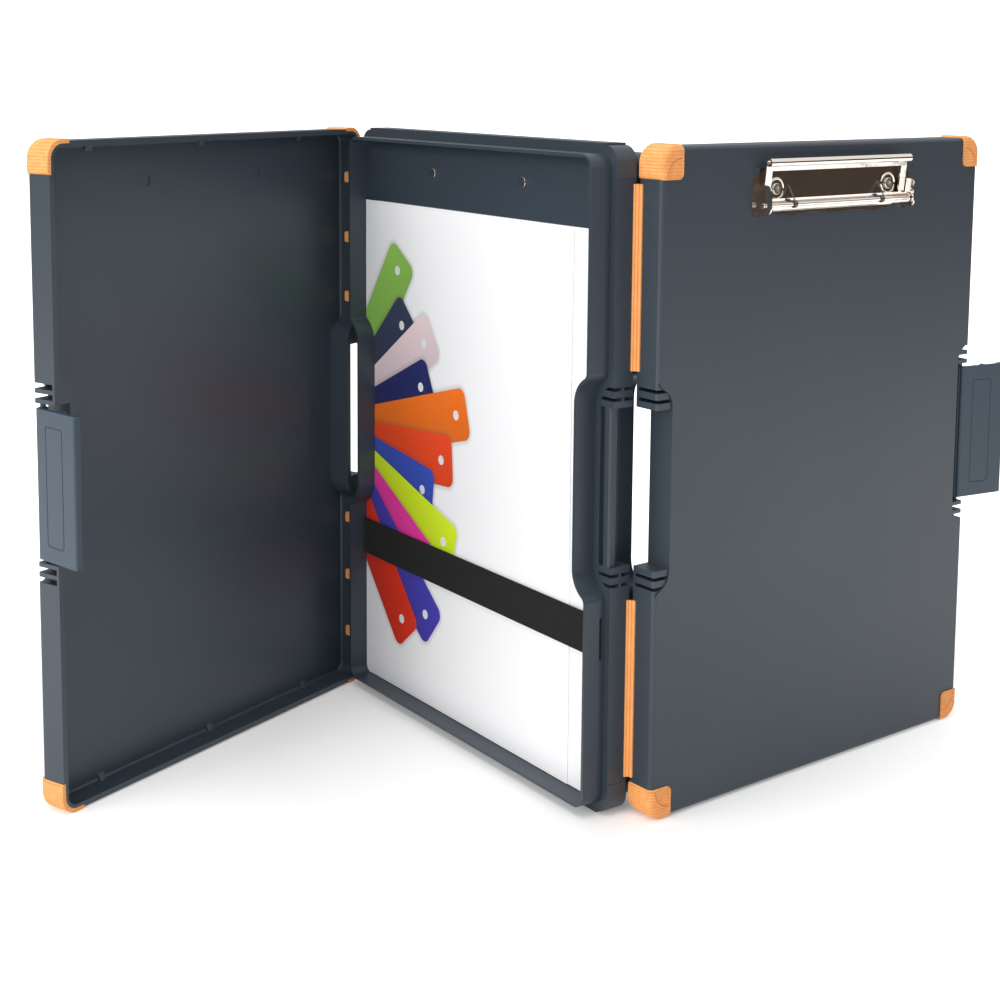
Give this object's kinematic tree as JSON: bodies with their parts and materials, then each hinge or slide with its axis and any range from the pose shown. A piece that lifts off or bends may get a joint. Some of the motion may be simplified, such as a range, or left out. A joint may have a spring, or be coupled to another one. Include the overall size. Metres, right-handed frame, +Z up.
{
  "type": "storage clipboard case",
  "caption": "Two-sided clipboard storage case: a divided tray with a hinged shell cover on each face, side latches, hand notches and a spring clip",
  "frame": {"origin": "middle of the underside of the tray's lower rail, half way across and half way through its thickness", "axes": "X across the tray from the front cover's hinge to the rear cover's hinge, Y through its thickness with the front compartment facing -Y, Z up"},
  "size_m": [0.2872, 0.5292, 0.348],
  "materials": {
    "shell_plastic": "fine-grained satin moulded plastic, slate grey",
    "latch_plastic": "satin moulded plastic, slate grey",
    "bumper_rubber": "soft matt orange rubber with fine grooves",
    "hinge_strip": "smooth orange flexible strip",
    "clip_chrome": "bright nickel-plated sheet steel",
    "rivet_steel": "plated steel eyelet",
    "spring_wire": "drawn spring wire",
    "paper": null,
    "strap_elastic": "black woven elastic"
  },
  "bodies": {
    "tray": {"tray": "shell_plastic", "front_hinge_tray_leaf_top": "hinge_strip", "front_hinge_tray_leaf_bottom": "hinge_strip", "rear_hinge_tray_leaf_top": "hinge_strip", "rear_hinge_tray_leaf_bottom": "hinge_strip", "inner_clip_base": "clip_chrome", "inner_clip_rod": "clip_chrome", "inner_clip_springs": "spring_wire", "inner_clip_rivets": "rivet_steel", "sheet_top": "paper", "sheet_middle": "paper", "sheet_bottom": "paper", "elastic_strap": "strap_elastic"},
    "front_cover": {"front_cover": "shell_plastic", "front_bumper_hinge_top": "bumper_rubber", "front_bumper_hinge_bottom": "bumper_rubber", "front_bumper_free_top": "bumper_rubber", "front_bumper_free_bottom": "bumper_rubber", "front_hinge_cover_leaf_top": "hinge_strip", "front_hinge_cover_leaf_bottom": "hinge_strip"},
    "rear_cover": {"rear_cover": "shell_plastic", "rear_bumper_hinge_top": "bumper_rubber", "rear_bumper_hinge_bottom": "bumper_rubber", "rear_bumper_free_top": "bumper_rubber", "rear_bumper_free_bottom": "bumper_rubber", "rear_hinge_cover_leaf_top": "hinge_strip", "rear_hinge_cover_leaf_bottom": "hinge_strip", "outer_clip_base": "clip_chrome", "outer_clip_rod": "clip_chrome", "outer_clip_springs": "spring_wire", "outer_clip_rivets": "rivet_steel"},
    "front_latch": {"front_latch": "latch_plastic"},
    "rear_latch": {"rear_latch": "latch_plastic"},
    "outer_clip_lever": {"outer_clip_lever": "clip_chrome"},
    "inner_clip_lever": {"inner_clip_lever": "clip_chrome"}
  },
  "joints": [
    {"name": "front_cover_hinge", "type": "hinge", "parent": "tray", "child": "front_cover", "pos_m": [-0.1252, -0.0064, 0.174], "axis": [0, 0, 1], "range_deg": [-112, 68]},
    {"name": "rear_cover_hinge", "type": "hinge", "parent": "tray", "child": "rear_cover", "pos_m": [0.1252, 0.0064, 0.174], "axis": [0, 0, 1], "range_deg": [-93, 87]},
    {"name": "front_latch_pivot", "type": "hinge", "parent": "front_cover", "child": "front_latch", "pos_m": [-0.04362, -0.23941, 0.174], "axis": [0, 0, 1], "range_deg": [-101, 9]},
    {"name": "rear_latch_pivot", "type": "hinge", "parent": "rear_cover", "child": "rear_latch", "pos_m": [0.12393, 0.25327, 0.174], "axis": [0, 0, 1], "range_deg": [-10, 100]},
    {"name": "outer_clip_press", "type": "hinge", "parent": "rear_cover", "child": "outer_clip_lever", "pos_m": [0.13957, 0.13253, 0.3155], "axis": [0.0523, -0.9986, 0], "range_deg": [0, 7], "stiffness_Nm_per_rad": 0.6, "springref_deg": -17.19},
    {"name": "inner_clip_press", "type": "hinge", "parent": "tray", "child": "inner_clip_lever", "pos_m": [0, 0.00095, 0.3165], "axis": [1, 0, 0], "range_deg": [0, 7], "stiffness_Nm_per_rad": 0.6, "springref_deg": -17.19}
  ]
}
